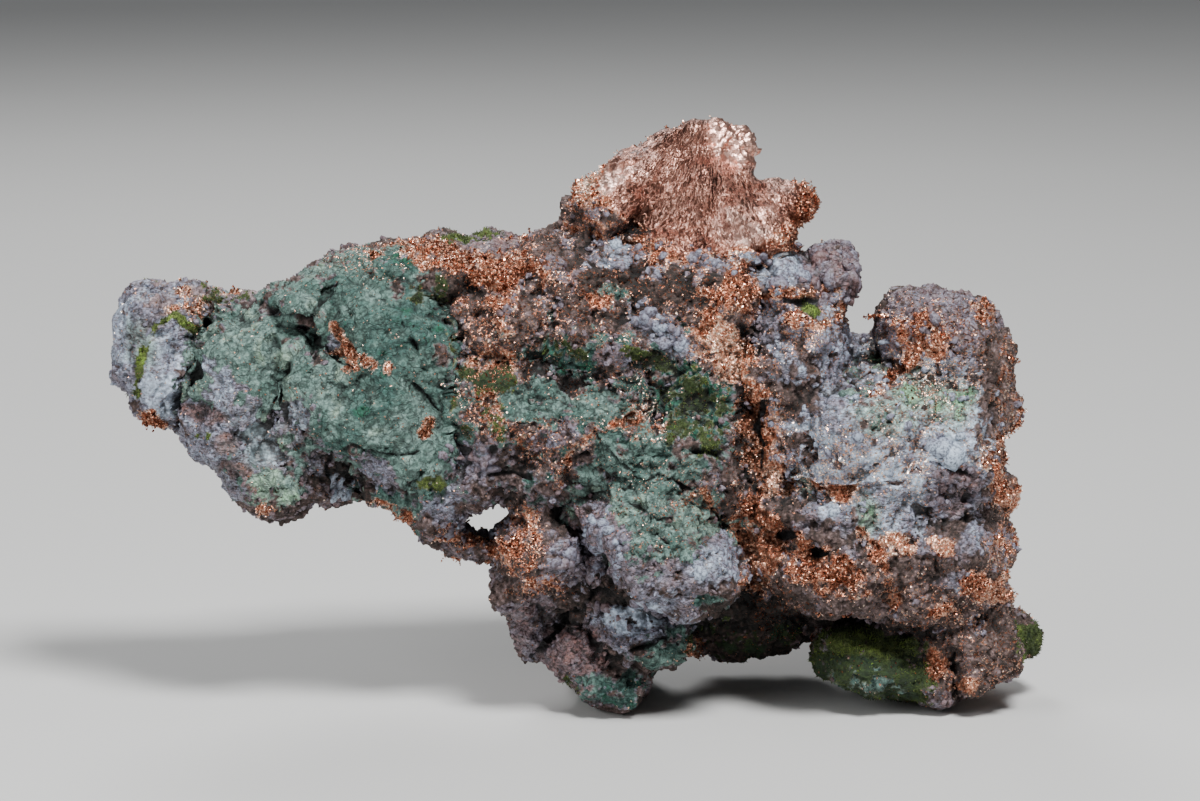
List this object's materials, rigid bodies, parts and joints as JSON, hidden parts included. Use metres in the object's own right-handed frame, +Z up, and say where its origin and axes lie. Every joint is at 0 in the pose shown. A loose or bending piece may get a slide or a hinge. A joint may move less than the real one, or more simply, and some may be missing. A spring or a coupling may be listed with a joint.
{
  "type": "native copper nugget",
  "caption": "Natural nugget of native copper grown through white quartz and green-crusted rock, with a long arm, a fan-shaped copper crest and a square block, standing on its own feet.",
  "frame": {"origin": "under the middle of the nugget's box, on the surface that it stands on", "axes": "+X runs from the quartz knob at the arm's tip to the square block, +Y points to the back, away from the face with the quartz and the copper seam, and +Z is up to the copper crest"},
  "size_m": [0.0942, 0.0352, 0.0586],
  "materials": {
    "copper_rock": "rough natural rock of white quartz, green crust and brown ground, with bright hackly copper through it",
    "native_copper": "bright rough copper, peach to red-brown, crumpled like foil",
    "quartz": "milky white to lilac quartz, granular",
    "green_growth": "soft yellow-green moss and algae in the hollows"
  },
  "bodies": {
    "root": {"nugget": "copper_rock"}
  },
  "joints": []
}
